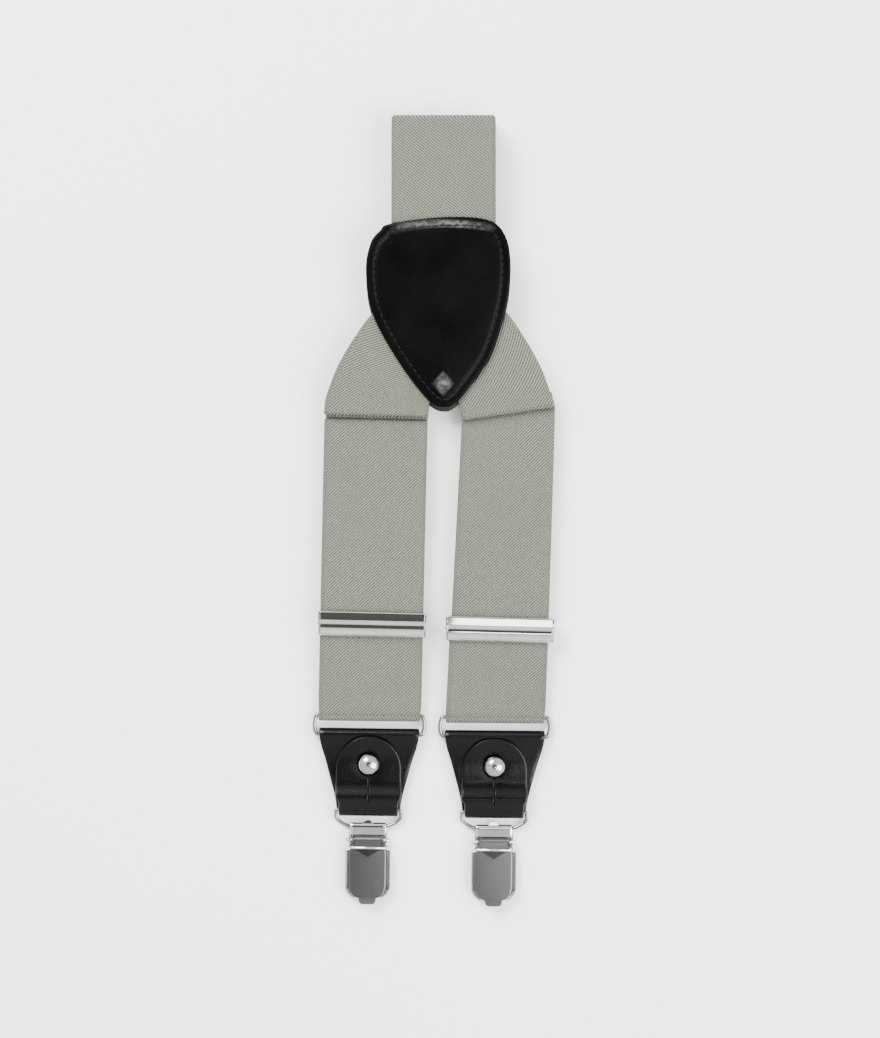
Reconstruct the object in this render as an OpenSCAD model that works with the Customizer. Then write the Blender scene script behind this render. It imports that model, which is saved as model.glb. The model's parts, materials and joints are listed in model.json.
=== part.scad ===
// Y-back suspenders with two front clips and one back clip, laid flat and folded.
// X is across, Y runs from the clips up to the back strap, Z is up from the rest face.

/* [Webbing] */
// Thickness of the elastic webbing
web_t = 1.3; // [1.0:0.05:1.3]
// How far each webbing edge is drawn in from the measured run edge
web_inset = 0.3; // [0.3:0.05:1.5]
// Width of the back strap
back_w = 37.8; // [30:0.1:37.9]
// Half width of a strap where it turns round its ring
bend_half = 18.3; // [15:0.1:18.6]

/* [Leather] */
// Thickness of the patch front and the end tabs
leather_t = 1.5; // [1.0:0.05:1.5]
// Thickness of the patch backing
backing_t = 1.2; // [0.8:0.05:1.2]
// Distance of the patch stitching from the patch edge
stitch_inset = 3.0; // [2:0.1:5]
// Spacing of the patch stitches
stitch_pitch = 2.6; // [2:0.1:5]
// Half width of the button flap
flap_half = 12; // [9:0.1:12]

/* [Hardware] */
// Wire radius of the strap rings
ring_r = 0.75; // [0.5:0.01:0.8]
// Distance between the two bars of a strap ring
ring_drop = 7; // [6:0.1:8]
// Wire radius of the bails
bail_r = 0.65; // [0.4:0.01:0.7]
// Radius of the stud head
stud_r = 4; // [3:0.1:4]
// Radius of the clip pins
clip_pin_r = 0.75; // [0.5:0.01:0.76]
// Radius of the adjuster cover pins
cover_pin_r = 0.6; // [0.4:0.01:0.61]
// Sheet thickness of the clips
sheet_t = 0.6; // [0.4:0.05:0.6]
// Half width of the clip jaws
jaw_half = 8.25; // [7.5:0.05:8.5]

/* [Hidden] */
$fn = 48;
web_grey = [0.62, 0.61, 0.6];
black = [0.1, 0.1, 0.1];
chrome = [0.78, 0.79, 0.8];
rubber = [0.2, 0.2, 0.2];
thread = [0.25, 0.25, 0.25];
// Every list of two below is left side first, then right side.
ring_at = [[-23.6, -73.8], [22.3, -74.6]];
ring_yaw = [-0.7, -0.5];
adj_at = [[-22.4, -40.5], [24.0, -42.4]];
adj_yaw = [-1.3, -1.5];
run_hi = 30.4;
run_lo = -72.2;
run_edges = [[[-40.2, -42.4], [-2.2, -4.5]], [[9.8, 4.4], [44.2, 40.9]]];
fold_at = [[-20.9, 36.93], [26.9, 37.61]];
fold_yaw = [-1.35, 8.25];
fold_w = [38.0, 34.0];
stack_yaw = [-1.25, -2.43];
stack_w = [36.8, 33.0];
ring_z = 2.35;
stack_lo = -31;
stack_hi = 35;
run_z = 5.5;
flat_from = 44;
run_rise = (run_z - 3.2) / flat_from;
run_tilt = atan(run_rise);
adj_d = [for (s = [0:1]) adj_at[s][1] - ring_at[s][1]];
adj_z = [for (s = [0:1]) 3.2 + web_t / 2 + run_rise * adj_d[s]];
bar_at = [1.5, -3.3];
bar_y = [for (s = [0:1]) adj_d[s] + bar_at[0] * cos(run_tilt) - bar_at[1] * sin(run_tilt)];
bar_z = [for (s = [0:1]) adj_z[s] + bar_at[0] * sin(run_tilt) + bar_at[1] * cos(run_tilt)];
cover_pin_at = [3.9, 1.9];
lap_y = 36;
lap_z = 9.05;
crown_y = 107;
crown_z = 13.15;
lap_rise = (crown_z - lap_z) / (crown_y - lap_y);
rear_at = [3.5, 102.8, 8.3];
rear_short = 5;
rear_clip_z = 3.4;
front_clip_z = 1.4;
clip_pin_at = [-5, 1.3];
patch_points = [[-15.6, 104.6], [3.2, 106.9], [19.2, 106.0], [25.6, 100.6], [27.7, 90.4],
                [26.5, 75.8], [21.0, 57.7], [12.5, 45.0], [8.3, 40.4], [3.8, 38.4],
                [-2.3, 41.3], [-12.9, 55.1], [-22.4, 72.6], [-24.6, 87.8], [-22.9, 97.6],
                [-19.6, 102.0]];
shoulder_points = [[[-39.9, 37.08], [-38.5, 44.9], [-36.7, 49.3], [-34.9, 53.6], [-32.7, 58.0],
                    [-29.8, 62.4], [-26.9, 66.7], [-23.3, 71.4], [-16, 78.5], [3.2, 59.3],
                    [3.2, 46], [-1.6, 41], [-1.9, 36.18]],
                   [[43.7, 39.76], [42.5, 42.6], [41.5, 46.4], [40.0, 50.7], [37.8, 55.1],
                    [35.6, 59.4], [33.5, 62.4], [30.5, 67.1], [26.5, 72.9], [19.5, 79.5],
                    [3.6, 60.5], [3.6, 46], [8.4, 41], [10.1, 34.86]]];

function mix(a, b, t) = a + (b - a) * t;
function edge_x(s, k, y) =
    mix(run_edges[s][k][0], run_edges[s][k][1], (run_hi - y) / (run_hi - run_lo));
function run_plan(s, inset, lo, hi) =
    [[edge_x(s, 0, lo) + inset, lo], [edge_x(s, 1, lo) - inset, lo],
     [edge_x(s, 1, hi) - inset, hi], [edge_x(s, 0, hi) + inset, hi]];
function lap(y) = lap_z + lap_rise * (min(y, crown_y) - lap_y);
function band(low, t) =
    concat(low, [for (i = [len(low) - 1:-1:0]) low[i] + [0, t]]);
function curve_at(p, i, t) =
    let (n = len(p), a = p[(i + n - 1) % n], b = p[i], c = p[(i + 1) % n], d = p[(i + 2) % n])
    0.5 * (2 * b + (c - a) * t + (2 * a - 5 * b + 4 * c - d) * t * t
           + (3 * b - a - 3 * c + d) * t * t * t);
function curve(p, steps) =
    [for (i = [0:len(p) - 1], k = [0:steps - 1]) curve_at(p, i, k / steps)];
function tab_y(y, short) = y > -22 ? y : -22 + (y + 22) * (12.65 - short) / 12.65;
function bail_y(short) = -34.65 + short;
function clip_y(short) = bail_y(short) - 5.95;
function bail_tilt(clip_z) = atan((2.25 - clip_z) / 5.95);
function heading(p, i) =
    let (n = len(p), d = p[(i + 1) % n] - p[i % n]) d / norm(d);
function path_turn(p, i) = heading(p, i + len(p) - 1) + heading(p, i);
function both_sides(half) =
    concat(half, [for (i = [len(half) - 1:-1:0]) [-half[i][0], half[i][1]]]);

module at_ring(s) {
    translate([ring_at[s][0], ring_at[s][1], 0])
        rotate([0, 0, ring_yaw[s]])
            children();
}

module at_rear() {
    translate(rear_at)
        rotate([0, 180, 0])
            children();
}

module at_adjuster(s) {
    translate([adj_at[s][0], adj_at[s][1], adj_z[s]])
        rotate([0, 0, adj_yaw[s]])
            rotate([run_tilt, 0, 0])
                children();
}

module at_stack(s) {
    translate([(edge_x(s, 0, 0) + edge_x(s, 1, 0)) / 2, 0, 0])
        rotate([0, 0, stack_yaw[s]])
            children();
}

module at_fold(s) {
    translate([fold_at[s][0], fold_at[s][1], 0])
        rotate([0, 0, fold_yaw[s]])
            children();
}

module across(w) {
    rotate([90, 0, 90])
        linear_extrude(w, center = true)
            children();
}

module rod(w, r, y, z) {
    translate([0, y, z])
        rotate([0, 90, 0])
            cylinder(h = w, r = r, center = true);
}

module turn(w, y, z, outer, inner, side) {
    difference() {
        rod(w, outer, y, z);
        rod(w + 1, inner, y, z);
        translate([-w, side > 0 ? y - 3 * outer : y, z - 2 * outer])
            cube([2 * w, 3 * outer, 4 * outer]);
    }
}

module pass(w, lo, hi, z) {
    translate([-w / 2, lo, z])
        cube([w, hi - lo, web_t]);
}

module wire_loop(path, r) {
    n = len(path);
    m = 16;
    polyhedron(
        points = [for (i = [0:n - 1], j = [0:m - 1])
            let (along = path_turn(path, i), a = 360 * j / m, k = 2 * r * cos(a) / (along * along))
            [path[i][0] + k * along[1], path[i][1] - k * along[0], r * sin(a)]],
        faces = [for (i = [0:n - 1], j = [0:m - 1])
            let (e = (i + 1) % n, f = (j + 1) % m)
            [i * m + j, i * m + f, e * m + f, e * m + j]]);
}

module lap_layer(low, high) {
    across(140)
        polygon([[20, lap(20) + low], [crown_y, crown_z + low], [150, crown_z + low],
                 [150, crown_z + high], [crown_y, crown_z + high], [20, lap(20) + high]]);
}

module patch_outline() {
    polygon(curve(patch_points, 6));
}

module patch_front() {
    color(black)
        intersection() {
            linear_extrude(30)
                patch_outline();
            lap_layer(web_t / 2 + 0.1, web_t / 2 + 0.1 + leather_t);
        }
}

module patch_backing() {
    color(black)
        intersection() {
            translate([0, -1.4, 0])
                linear_extrude(30)
                    patch_outline();
            translate([-50, 20, 0])
                cube([100, 80, 30]);
            lap_layer(-web_t / 2 - 0.1 - backing_t, -web_t / 2 - 0.1);
        }
}

module patch_stitching() {
    n = len(patch_points);
    color(thread)
        for (i = [0:n - 1]) {
            m = max(1, round(norm(patch_points[(i + 1) % n] - patch_points[i]) / stitch_pitch));
            for (k = [0:m - 1]) {
                here = curve_at(patch_points, i, (k + 0.5) / m);
                step = curve_at(patch_points, i, (k + 0.6) / m) - here;
                along = step / norm(step);
                x = here[0] + stitch_inset * along[1];
                y = here[1] - stitch_inset * along[0];
                translate([x, y, lap(y) + web_t / 2 + 0.1 + leather_t])
                    rotate([atan(lap_rise), 0, 0])
                        rotate([0, 0, atan2(along[1], along[0])])
                            translate([-0.75, -0.25, 0.02])
                                cube([1.5, 0.5, 0.4]);
            }
        }
}

module back_strap() {
    color(web_grey)
        translate([rear_at[0], 0, 0]) {
            intersection() {
                translate([-back_w / 2, 81, 0])
                    cube([back_w, 61.85, 20]);
                lap_layer(-web_t / 2, web_t / 2);
            }
            turn(back_w, 142.85, 12.45, 1.35, 0.05, 1);
            pass(back_w, 108.7, 142.85, 11.1);
            turn(back_w, 108.7, 11.075, 1.325, 0.025, -1);
            pass(back_w, 108.7, 141.8, 9.75);
            turn(back_w, 141.8, 9.725, 1.325, 0.025, 1);
            pass(back_w, 108.7, 141.8, 8.4);
            turn(back_w, 108.7, 8.375, 1.325, 0.025, -1);
            pass(back_w, 108.7, 139.8, 7.05);
            turn(back_w, 139.8, 4.175, 4.175, 2.875, 1);
            pass(back_w, 108.7, 139.8, 0);
            turn(back_w, 108.7, 1.325, 1.325, 0.025, -1);
            pass(back_w, 108.7, 138, 1.35);
            turn(back_w, 138, 3.225, 1.875, 0.575, 1);
            pass(2 * bend_half, rear_at[1], 138, 3.8);
            turn(2 * bend_half, rear_at[1], 5.95, 2.15, 0.85, -1);
            across(2 * bend_half)
                polygon(band([[rear_at[1], 6.8], [106.5, 5.15], [113, 5.15]], web_t));
        }
}

module front_stack(s) {
    low = stack_lo + 1.325;
    at_stack(s) {
        pass(stack_w[s], low, 34.4, 0);
        pass(stack_w[s], low, stack_hi, 1.35);
        pass(stack_w[s], low, stack_hi, 2.75);
        pass(stack_w[s], low, stack_hi, 4.1);
        turn(stack_w[s], low, 1.325, 1.325, 0.025, -1);
        turn(stack_w[s], low, 4.075, 1.325, 0.025, -1);
        turn(stack_w[s], stack_hi, 2.7, 1.35, 0.05, 1);
        turn(stack_w[s], stack_hi, 5.45, 1.35, 0.05, 1);
    }
}

module shoulder_strap(s) {
    color(web_grey) {
        intersection() {
            linear_extrude(30)
                polygon(shoulder_points[s]);
            lap_layer(-web_t / 2, web_t / 2);
        }
        at_fold(s) {
            turn(fold_w[s] - 0.6, 0.05, 8.325, 1.375, 0.075, -1);
            turn(fold_w[s] - 1.2, 0.4, 4.125, 4.125, 2.825, 1);
            pass(fold_w[s] - 1.2, 0.05, 0.4, 6.95);
            pass(fold_w[s] - 1.2, -7.3, 0.4, 0);
        }
        front_stack(s);
    }
}

module strap_run(s) {
    color(web_grey)
        intersection() {
            at_ring(s)
                across(120)
                    polygon(band([[0, 3.2], [flat_from, run_z], [120, run_z]], web_t));
            linear_extrude(20)
                polygon(run_plan(s, web_inset, -80, stack_hi - 0.8));
        }
}

module strap_bend(s) {
    color(web_grey)
        at_ring(s)
            turn(2 * bend_half, 0, ring_z, ring_z - 0.2, 0.85, -1);
}

module strap_return(s) {
    loop_z = bar_z[s];
    color(web_grey) {
        intersection() {
            at_ring(s)
                across(120) {
                    polygon(band([[0, 0.2], [bar_y[s], loop_z - 2]], web_t));
                    polygon(band([[bar_y[s] - 11, 1.7], [bar_y[s] - 7, 1.72],
                                  [bar_y[s], loop_z + 0.7]], web_t));
                }
            linear_extrude(20)
                polygon(run_plan(s, 0.6, -80, 40));
        }
        at_adjuster(s)
            turn(36.4, bar_at[0], bar_at[1], 2, 0.7, 1);
    }
}

module adjuster_frame(s) {
    color(chrome)
        at_adjuster(s) {
            for (side = [-1, 1])
                translate([19.45 * side, 0, 0])
                    difference() {
                        across(0.5)
                            polygon([[-4.2, -1.6], [0.2, -1.6], [0.7, -4], [2.3, -4], [2.9, -1.6],
                                     [4.4, -1.2], [4.9, 1.4], [4.6, 2.7], [3, 2.9], [-3.6, 1.6],
                                     [-4.4, 0.4]]);
                        rod(2, cover_pin_r + 0.02, cover_pin_at[0], cover_pin_at[1]);
                    }
            translate([-19.3, -4.2, -1.25])
                cube([38.6, 3.2, 0.5]);
            rod(38.6, 0.6, bar_at[0], bar_at[1]);
            translate([-19.85, 0, 0])
                rod(0.5, 0.5, 0.3, 1);
        }
}

module adjuster_pin(s) {
    color(chrome)
        at_adjuster(s)
            rod(39.8, cover_pin_r, cover_pin_at[0], cover_pin_at[1]);
}

module adjuster_cover(s) {
    color(chrome)
        at_adjuster(s)
            difference() {
                union() {
                    rod(37.9, 1.1, cover_pin_at[0], cover_pin_at[1]);
                    across(37.9)
                        polygon([[4.8, 2.3], [4.45, 3], [0.4, 3.25], [-0.2, 3.15], [-1.6, 3.3],
                                 [-3.2, 2.9], [-4.3, 2], [-4.75, 1], [-4, 0.85], [-3.7, 1.6],
                                 [-2.8, 2.2], [-1.5, 2.55], [0.4, 2.5], [3.2, 2.4]]);
                }
                rod(40, cover_pin_r + 0.05, cover_pin_at[0], cover_pin_at[1]);
            }
}

module strap_ring() {
    color(chrome)
        translate([0, 0, ring_z])
            wire_loop(both_sides([[18.7, 0], [19.25, -0.16], [19.55, -0.6], [19.91, -1.75],
                                  [20.1, -ring_drop / 2], [19.91, 1.75 - ring_drop],
                                  [19.55, 0.6 - ring_drop], [19.25, 0.16 - ring_drop],
                                  [18.7, -ring_drop]]), ring_r);
}

module tab_leather(short) {
    sewn_to = short > 0 ? -19.5 : -23;
    bail = bail_y(short);
    half = [for (p = [[18.4, -4.6], [18.1, -8.9], [17.3, -12.2], [16.2, -15.5], [15.3, -18.7],
                      [14.4, -22], [13.5, -25.3], [12.7, -28.5], [12, -31.8], [11.8, -34.65]])
            [p[0], tab_y(p[1], short)]];
    color(black)
        difference() {
            intersection() {
                linear_extrude(10)
                    polygon(both_sides(half));
                union() {
                    turn(40, -ring_drop, ring_z, 2.35, 0.85, 1);
                    across(40)
                        polygon(band([[-ring_drop, 3.2], [-12, 2.2], [-18, 1.6],
                                      [sewn_to - 0.5, 1.55], [bail + 4.65, 0.3], [bail, 0]],
                                     leather_t));
                    translate([-20, sewn_to, 0])
                        cube([40, -ring_drop - sewn_to, 1.5]);
                }
            }
            translate([0, -17.7, 0.7]) {
                cylinder(h = 5, r = 1.7);
                cylinder(h = 0.85, r = 2.6);
            }
        }
}

module tab_bend(short) {
    color(black)
        turn(22, bail_y(short), 2.25, 2.25, 0.75, -1);
}

module tab_flap(short) {
    bail = bail_y(short);
    root = 3.8;
    root_half = flap_half - 1.2;
    color(black)
        difference() {
            intersection() {
                linear_extrude(10)
                    union() {
                        translate([-root_half, bail])
                            square([2 * root_half, root + 1]);
                        translate([-flap_half, bail + root])
                            square([2 * flap_half, -19.4 - bail - root]);
                        translate([0, -19.4])
                            circle(r = flap_half);
                    }
                across(40)
                    polygon(band([[bail, 3], [bail + 4.65, 3.6], [-18, 3.2], [-12, 3.9],
                                  [-7.3, 4.9]], leather_t));
            }
            translate([0, -17.7, 0]) {
                cylinder(h = 10, r = stud_r + 0.2);
                translate([0, 1.4, 0])
                    cylinder(h = 10, r = stud_r + 0.2);
                translate([-stud_r - 0.2, 0, 0])
                    cube([2 * stud_r + 0.4, 1.4, 10]);
            }
        }
}

module tab_stud() {
    color(chrome)
        translate([0, -17.7, 0]) {
            translate([0, 0, 0.8])
                cylinder(h = 0.6, r = 2.4);
            translate([0, 0, 1.2])
                cylinder(h = 4, r = 1.6);
            translate([0, 0, 4.8])
                cylinder(h = 1.2, r = stud_r);
            translate([0, 0, 6])
                intersection() {
                    translate([0, 0, -2.35])
                        sphere(r = 4.64);
                    cylinder(h = 3, r = stud_r);
                }
        }
}

module clip_bail(short, clip_z) {
    color(chrome)
        translate([0, bail_y(short), 2.25])
            rotate([bail_tilt(clip_z), 0, 0])
                wire_loop(both_sides([[11.4, 0], [11.75, -0.2], [11.9, -0.6], [11.9, -2.85],
                                      [11.2, -4], [9.3, -5.2], [8, -5.8],
                                      [7, -5.95 / cos(bail_tilt(clip_z))]]), bail_r);
}

module at_clip(short, clip_z) {
    translate([0, clip_y(short), clip_z])
        children();
}

module jaw_outline() {
    polygon(both_sides([[jaw_half, -8.7], [jaw_half, -22], [7.6, -24.2], [5.8, -25.9],
                        [3.4, -26.8], [0, -27]]));
}

module pad_outline() {
    polygon(both_sides([[jaw_half - 0.8, -12], [jaw_half - 0.8, -22], [6.6, -23.8], [4.8, -25.2],
                        [0, -25.8]]));
}

module clip_back_plate(short, clip_z) {
    color(chrome)
        at_clip(short, clip_z) {
            turn(13.2, 0, 0, 1.35, 0.7, 1);
            translate([-6.6, -9, -1.35])
                cube([13.2, 9, sheet_t]);
            translate([-6.6, -3.1, 0.75])
                cube([13.2, 3.1, sheet_t]);
            difference() {
                translate([-0.2, 0.55, -0.6])
                    cylinder(h = 1.2, r = 1.8);
                rod(10, 1, 0, 0);
                translate([-3, -3, -1])
                    cube([6, 3, 2]);
            }
            for (side = [-1, 1])
                translate([6.7 * side, 0, 0])
                    difference() {
                        across(0.6)
                            polygon([[-7.6, -1.35], [-7.6, 1.6], [-6.6, 2.4], [-3.4, 2.4],
                                     [-2.4, 1.6], [-2.4, -1.35]]);
                        rod(2, clip_pin_r + 0.02, clip_pin_at[0], clip_pin_at[1]);
                    }
            translate([0, 0, -1.35])
                linear_extrude(sheet_t)
                    jaw_outline();
        }
}

module clip_pin(short, clip_z) {
    color(chrome)
        at_clip(short, clip_z)
            rod(16.4, clip_pin_r, clip_pin_at[0], clip_pin_at[1]);
}

module clip_back_pad(short, clip_z) {
    color(rubber)
        at_clip(short, clip_z)
            translate([0, 0, -1.35 + sheet_t])
                linear_extrude(1.1)
                    pad_outline();
}

module clip_front_jaw(short, clip_z) {
    color(chrome)
        at_clip(short, clip_z)
            difference() {
                union() {
                    for (side = [-1, 1])
                        translate([5.6 * side, 0, 0]) {
                            rod(0.8, 1.5, clip_pin_at[0], clip_pin_at[1]);
                            translate([-0.4, -9.2, 1.3])
                                cube([0.8, 4.2, 0.35 + sheet_t]);
                        }
                    translate([0, 0, 1.65])
                        linear_extrude(sheet_t)
                            jaw_outline();
                }
                rod(20, clip_pin_r + 0.05, clip_pin_at[0], clip_pin_at[1]);
            }
}

module clip_front_pad(short, clip_z) {
    color(rubber)
        at_clip(short, clip_z)
            translate([0, 0, 0.55])
                linear_extrude(1.1)
                    pad_outline();
}

module clip_lever(short, clip_z) {
    color(chrome)
        at_clip(short, clip_z)
            difference() {
                union() {
                    rod(10, 1.7, clip_pin_at[0], clip_pin_at[1]);
                    translate([-5, -8.4, 2.4])
                        cube([10, 3.4, 0.6]);
                    translate([0, 0, 2.5])
                        linear_extrude(0.8)
                            polygon(both_sides([[6.5, -7.9], [6.8, -9], [6.7, -20], [6.2, -23.5],
                                                [4.6, -25.6], [3.15, -26.3], [3.15, -27.6],
                                                [2.4, -28.3]]));
                }
                rod(20, clip_pin_r + 0.05, clip_pin_at[0], clip_pin_at[1]);
            }
}

module left_shoulder_strap() {
    shoulder_strap(0);
}

module right_shoulder_strap() {
    shoulder_strap(1);
}

module left_strap_run() {
    strap_run(0);
}

module right_strap_run() {
    strap_run(1);
}

module left_strap_bend() {
    strap_bend(0);
}

module right_strap_bend() {
    strap_bend(1);
}

module left_strap_return() {
    strap_return(0);
}

module right_strap_return() {
    strap_return(1);
}

module left_adjuster_frame() {
    adjuster_frame(0);
}

module right_adjuster_frame() {
    adjuster_frame(1);
}

module left_adjuster_pin() {
    adjuster_pin(0);
}

module right_adjuster_pin() {
    adjuster_pin(1);
}

module left_adjuster_cover() {
    adjuster_cover(0);
}

module right_adjuster_cover() {
    adjuster_cover(1);
}

module left_strap_ring() {
    at_ring(0)
        strap_ring();
}

module left_tab_leather() {
    at_ring(0)
        tab_leather(0);
}

module left_tab_bend() {
    at_ring(0)
        tab_bend(0);
}

module left_tab_flap() {
    at_ring(0)
        tab_flap(0);
}

module left_tab_stud() {
    at_ring(0)
        tab_stud();
}

module left_clip_bail() {
    at_ring(0)
        clip_bail(0, front_clip_z);
}

module left_clip_back_plate() {
    at_ring(0)
        clip_back_plate(0, front_clip_z);
}

module left_clip_pin() {
    at_ring(0)
        clip_pin(0, front_clip_z);
}

module left_clip_back_pad() {
    at_ring(0)
        clip_back_pad(0, front_clip_z);
}

module left_clip_front_jaw() {
    at_ring(0)
        clip_front_jaw(0, front_clip_z);
}

module left_clip_front_pad() {
    at_ring(0)
        clip_front_pad(0, front_clip_z);
}

module left_clip_lever() {
    at_ring(0)
        clip_lever(0, front_clip_z);
}

module right_strap_ring() {
    at_ring(1)
        strap_ring();
}

module right_tab_leather() {
    at_ring(1)
        tab_leather(0);
}

module right_tab_bend() {
    at_ring(1)
        tab_bend(0);
}

module right_tab_flap() {
    at_ring(1)
        tab_flap(0);
}

module right_tab_stud() {
    at_ring(1)
        tab_stud();
}

module right_clip_bail() {
    at_ring(1)
        clip_bail(0, front_clip_z);
}

module right_clip_back_plate() {
    at_ring(1)
        clip_back_plate(0, front_clip_z);
}

module right_clip_pin() {
    at_ring(1)
        clip_pin(0, front_clip_z);
}

module right_clip_back_pad() {
    at_ring(1)
        clip_back_pad(0, front_clip_z);
}

module right_clip_front_jaw() {
    at_ring(1)
        clip_front_jaw(0, front_clip_z);
}

module right_clip_front_pad() {
    at_ring(1)
        clip_front_pad(0, front_clip_z);
}

module right_clip_lever() {
    at_ring(1)
        clip_lever(0, front_clip_z);
}

module rear_strap_ring() {
    at_rear()
        strap_ring();
}

module rear_tab_leather() {
    at_rear()
        tab_leather(rear_short);
}

module rear_tab_bend() {
    at_rear()
        tab_bend(rear_short);
}

module rear_tab_flap() {
    at_rear()
        tab_flap(rear_short);
}

module rear_tab_stud() {
    at_rear()
        tab_stud();
}

module rear_clip_bail() {
    at_rear()
        clip_bail(rear_short, rear_clip_z);
}

module rear_clip_back_plate() {
    at_rear()
        clip_back_plate(rear_short, rear_clip_z);
}

module rear_clip_pin() {
    at_rear()
        clip_pin(rear_short, rear_clip_z);
}

module rear_clip_back_pad() {
    at_rear()
        clip_back_pad(rear_short, rear_clip_z);
}

module rear_clip_front_jaw() {
    at_rear()
        clip_front_jaw(rear_short, rear_clip_z);
}

module rear_clip_front_pad() {
    at_rear()
        clip_front_pad(rear_short, rear_clip_z);
}

module rear_clip_lever() {
    at_rear()
        clip_lever(rear_short, rear_clip_z);
}

patch_front();
patch_backing();
patch_stitching();
back_strap();
left_shoulder_strap();
right_shoulder_strap();
left_strap_run();
right_strap_run();
left_strap_bend();
right_strap_bend();
left_strap_return();
right_strap_return();
left_adjuster_frame();
right_adjuster_frame();
left_adjuster_pin();
right_adjuster_pin();
left_adjuster_cover();
right_adjuster_cover();
left_strap_ring();
left_tab_leather();
left_tab_bend();
left_tab_flap();
left_tab_stud();
left_clip_bail();
left_clip_back_plate();
left_clip_pin();
left_clip_back_pad();
left_clip_front_jaw();
left_clip_front_pad();
left_clip_lever();
right_strap_ring();
right_tab_leather();
right_tab_bend();
right_tab_flap();
right_tab_stud();
right_clip_bail();
right_clip_back_plate();
right_clip_pin();
right_clip_back_pad();
right_clip_front_jaw();
right_clip_front_pad();
right_clip_lever();
rear_strap_ring();
rear_tab_leather();
rear_tab_bend();
rear_tab_flap();
rear_tab_stud();
rear_clip_bail();
rear_clip_back_plate();
rear_clip_pin();
rear_clip_back_pad();
rear_clip_front_jaw();
rear_clip_front_pad();
rear_clip_lever();
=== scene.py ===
"""Grey twill suspenders, folded and laid flat: webbing, leather patch and tabs, chrome hardware."""
import bmesh
import bpy
from math import atan2, cos, exp, pi, radians, sin, sqrt, tan
from mathutils import Matrix, Vector
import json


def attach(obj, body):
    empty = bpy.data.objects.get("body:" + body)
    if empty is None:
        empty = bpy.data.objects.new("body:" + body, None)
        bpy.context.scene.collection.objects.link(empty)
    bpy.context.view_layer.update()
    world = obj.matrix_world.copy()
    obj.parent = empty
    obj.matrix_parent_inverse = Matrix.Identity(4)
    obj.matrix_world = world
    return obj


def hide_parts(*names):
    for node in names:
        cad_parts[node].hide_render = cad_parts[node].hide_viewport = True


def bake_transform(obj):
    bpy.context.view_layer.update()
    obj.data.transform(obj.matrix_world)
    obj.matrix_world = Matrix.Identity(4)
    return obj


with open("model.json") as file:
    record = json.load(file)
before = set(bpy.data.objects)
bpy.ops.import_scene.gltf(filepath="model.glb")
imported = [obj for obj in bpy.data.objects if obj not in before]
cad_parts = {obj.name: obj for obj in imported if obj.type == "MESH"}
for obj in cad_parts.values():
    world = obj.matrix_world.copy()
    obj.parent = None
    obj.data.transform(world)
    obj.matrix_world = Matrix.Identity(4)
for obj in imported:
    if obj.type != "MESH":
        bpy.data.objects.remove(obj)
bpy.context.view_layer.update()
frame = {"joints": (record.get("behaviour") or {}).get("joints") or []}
MM = 0.001
SIDES = ("left", "right")
ENDS = ("left", "right", "rear")
JOINTS = {joint["name"]: joint for joint in frame["joints"]}

# ---------------------------------------------------------------- places
# In a strap end's own frame: height of the ring, place of the bail's top bar, and the stud.
RING_Z = 2.35
BAIL_Y, BAIL_Z = -34.65, 2.25
REAR_BAIL_Y = -29.65
STUD_Y = -17.7
# How far the run climbs from its foot, and over what length.
RUN_RISE, RUN_RISE_LENGTH = 2.3, 44.0
RUN_TILT = atan2(RUN_RISE, RUN_RISE_LENGTH)
# In an adjuster's own frame: the cover's hinge pin and the bar that the webbing goes round.
COVER_PIN_Y, COVER_PIN_Z = 3.9, 1.9
BAR_Y, BAR_Z = 1.5, -3.3
# The raised spot near the patch's tip.
SPOT_X, SPOT_Y = 3.3, 47.0


def joint_point(name):
    """Where a joint is, in mm."""
    return Vector(JOINTS[name]["pos_m"]) / MM


def basis(x_axis, y_axis, origin):
    x_axis, y_axis = x_axis.normalized(), y_axis.normalized()
    z_axis = x_axis.cross(y_axis)
    rows = [[x_axis[i], y_axis[i], z_axis[i], origin[i]] for i in range(3)]
    return Matrix(rows + [[0, 0, 0, 1]])


def end_place(end):
    """The frame of a strap end: origin under the ring's top bar, Y up the strap, Z out of its face."""
    ring = joint_point(f"{end}_ring_hinge")
    x_axis = -Vector(JOINTS[f"{end}_ring_hinge"]["axis"])
    y_axis = ring - joint_point(f"{end}_tab_hinge")
    place = basis(x_axis, y_axis, ring)
    return place @ Matrix.Translation((0, 0, -RING_Z))


def adjuster_place(side):
    """The frame of an adjuster: Y up the strap, Z out of its cover."""
    pin = joint_point(f"{side}_cover_hinge")
    x_axis = -Vector(JOINTS[f"{side}_cover_hinge"]["axis"])
    flat = Vector((-x_axis.y, x_axis.x, 0))
    y_axis = flat * cos(RUN_TILT) + Vector((0, 0, sin(RUN_TILT)))
    return basis(x_axis, y_axis, pin) @ Matrix.Translation((0, -COVER_PIN_Y, -COVER_PIN_Z))


PLACE = {end: end_place(end) for end in ENDS}
ADJUSTER = {side: adjuster_place(side) for side in SIDES}
WORLD = Matrix.Identity(4)

# ---------------------------------------------------------------- curves


def lerp(a, b, t):
    return a + (b - a) * t


def spline(points, steps, closed=False):
    """A smooth curve through the points, steps pieces between each two."""
    points = [Vector(p) for p in points]
    n = len(points)
    spans = n if closed else n - 1
    out = []
    for i in range(spans):
        if closed:
            a, b, c, d = (points[(i + k) % n] for k in (-1, 0, 1, 2))
        else:
            a, b, c, d = (points[min(max(i + k, 0), n - 1)] for k in (-1, 0, 1, 2))
        for k in range(steps):
            t = k / steps
            out.append(0.5 * (2 * b + (c - a) * t + (2 * a - 5 * b + 4 * c - d) * t * t
                              + (3 * b - a - 3 * c + d) * t ** 3))
    if not closed:
        out.append(points[-1])
    return out


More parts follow.
